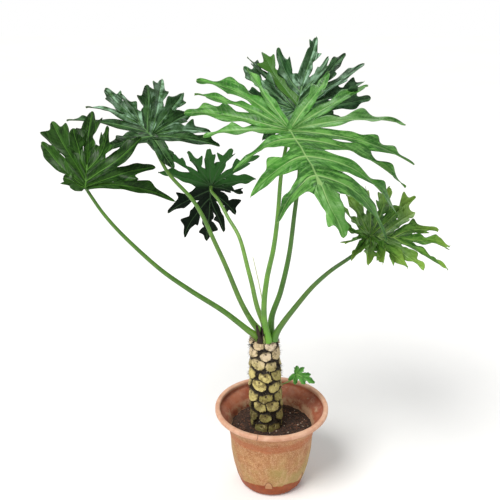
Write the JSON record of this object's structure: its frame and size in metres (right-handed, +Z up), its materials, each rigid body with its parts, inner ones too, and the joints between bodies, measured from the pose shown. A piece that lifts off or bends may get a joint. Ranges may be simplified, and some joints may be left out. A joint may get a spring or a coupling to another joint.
{
  "type": "potted philodendron",
  "caption": "Tree philodendron with deeply cut leaves on long stalks, a short scarred trunk, in a terracotta-coloured plastic pot",
  "frame": {"origin": "centre of the underside of the pot's foot, on the surface it stands on", "axes": "+Z up along the pot's axis; the plant's front, where the big bright leaf hangs, faces -Y; +X to the viewer's right"},
  "size_m": [1.006, 0.5235, 1.1413],
  "materials": {
    "pot_plastic": "matte",
    "potting_mix": "matte",
    "trunk_bark": "rough",
    "leaf_stalk": "satin",
    "leaf_blade": "satin",
    "dry_sheath": "matte",
    "pale_sheath": "matte"
  },
  "bodies": {
    "root": {"pot": "pot_plastic", "soil": "potting_mix", "trunk": "trunk_bark", "stalk_far_left": "leaf_stalk", "stalk_left": "leaf_stalk", "stalk_back": "leaf_stalk", "stalk_centre": "leaf_stalk", "stalk_right": "leaf_stalk", "stalk_low_right": "leaf_stalk", "leaf_front": "leaf_blade", "leaf_top": "leaf_blade", "leaf_far_left": "leaf_blade", "leaf_left": "leaf_blade", "leaf_back": "leaf_blade", "leaf_right": "leaf_blade", "side_shoot_stem": "leaf_stalk", "side_shoot_leaf": "leaf_blade", "bud": "leaf_stalk", "dry_sheath": "dry_sheath", "pale_sheath": "pale_sheath"}
  },
  "joints": []
}
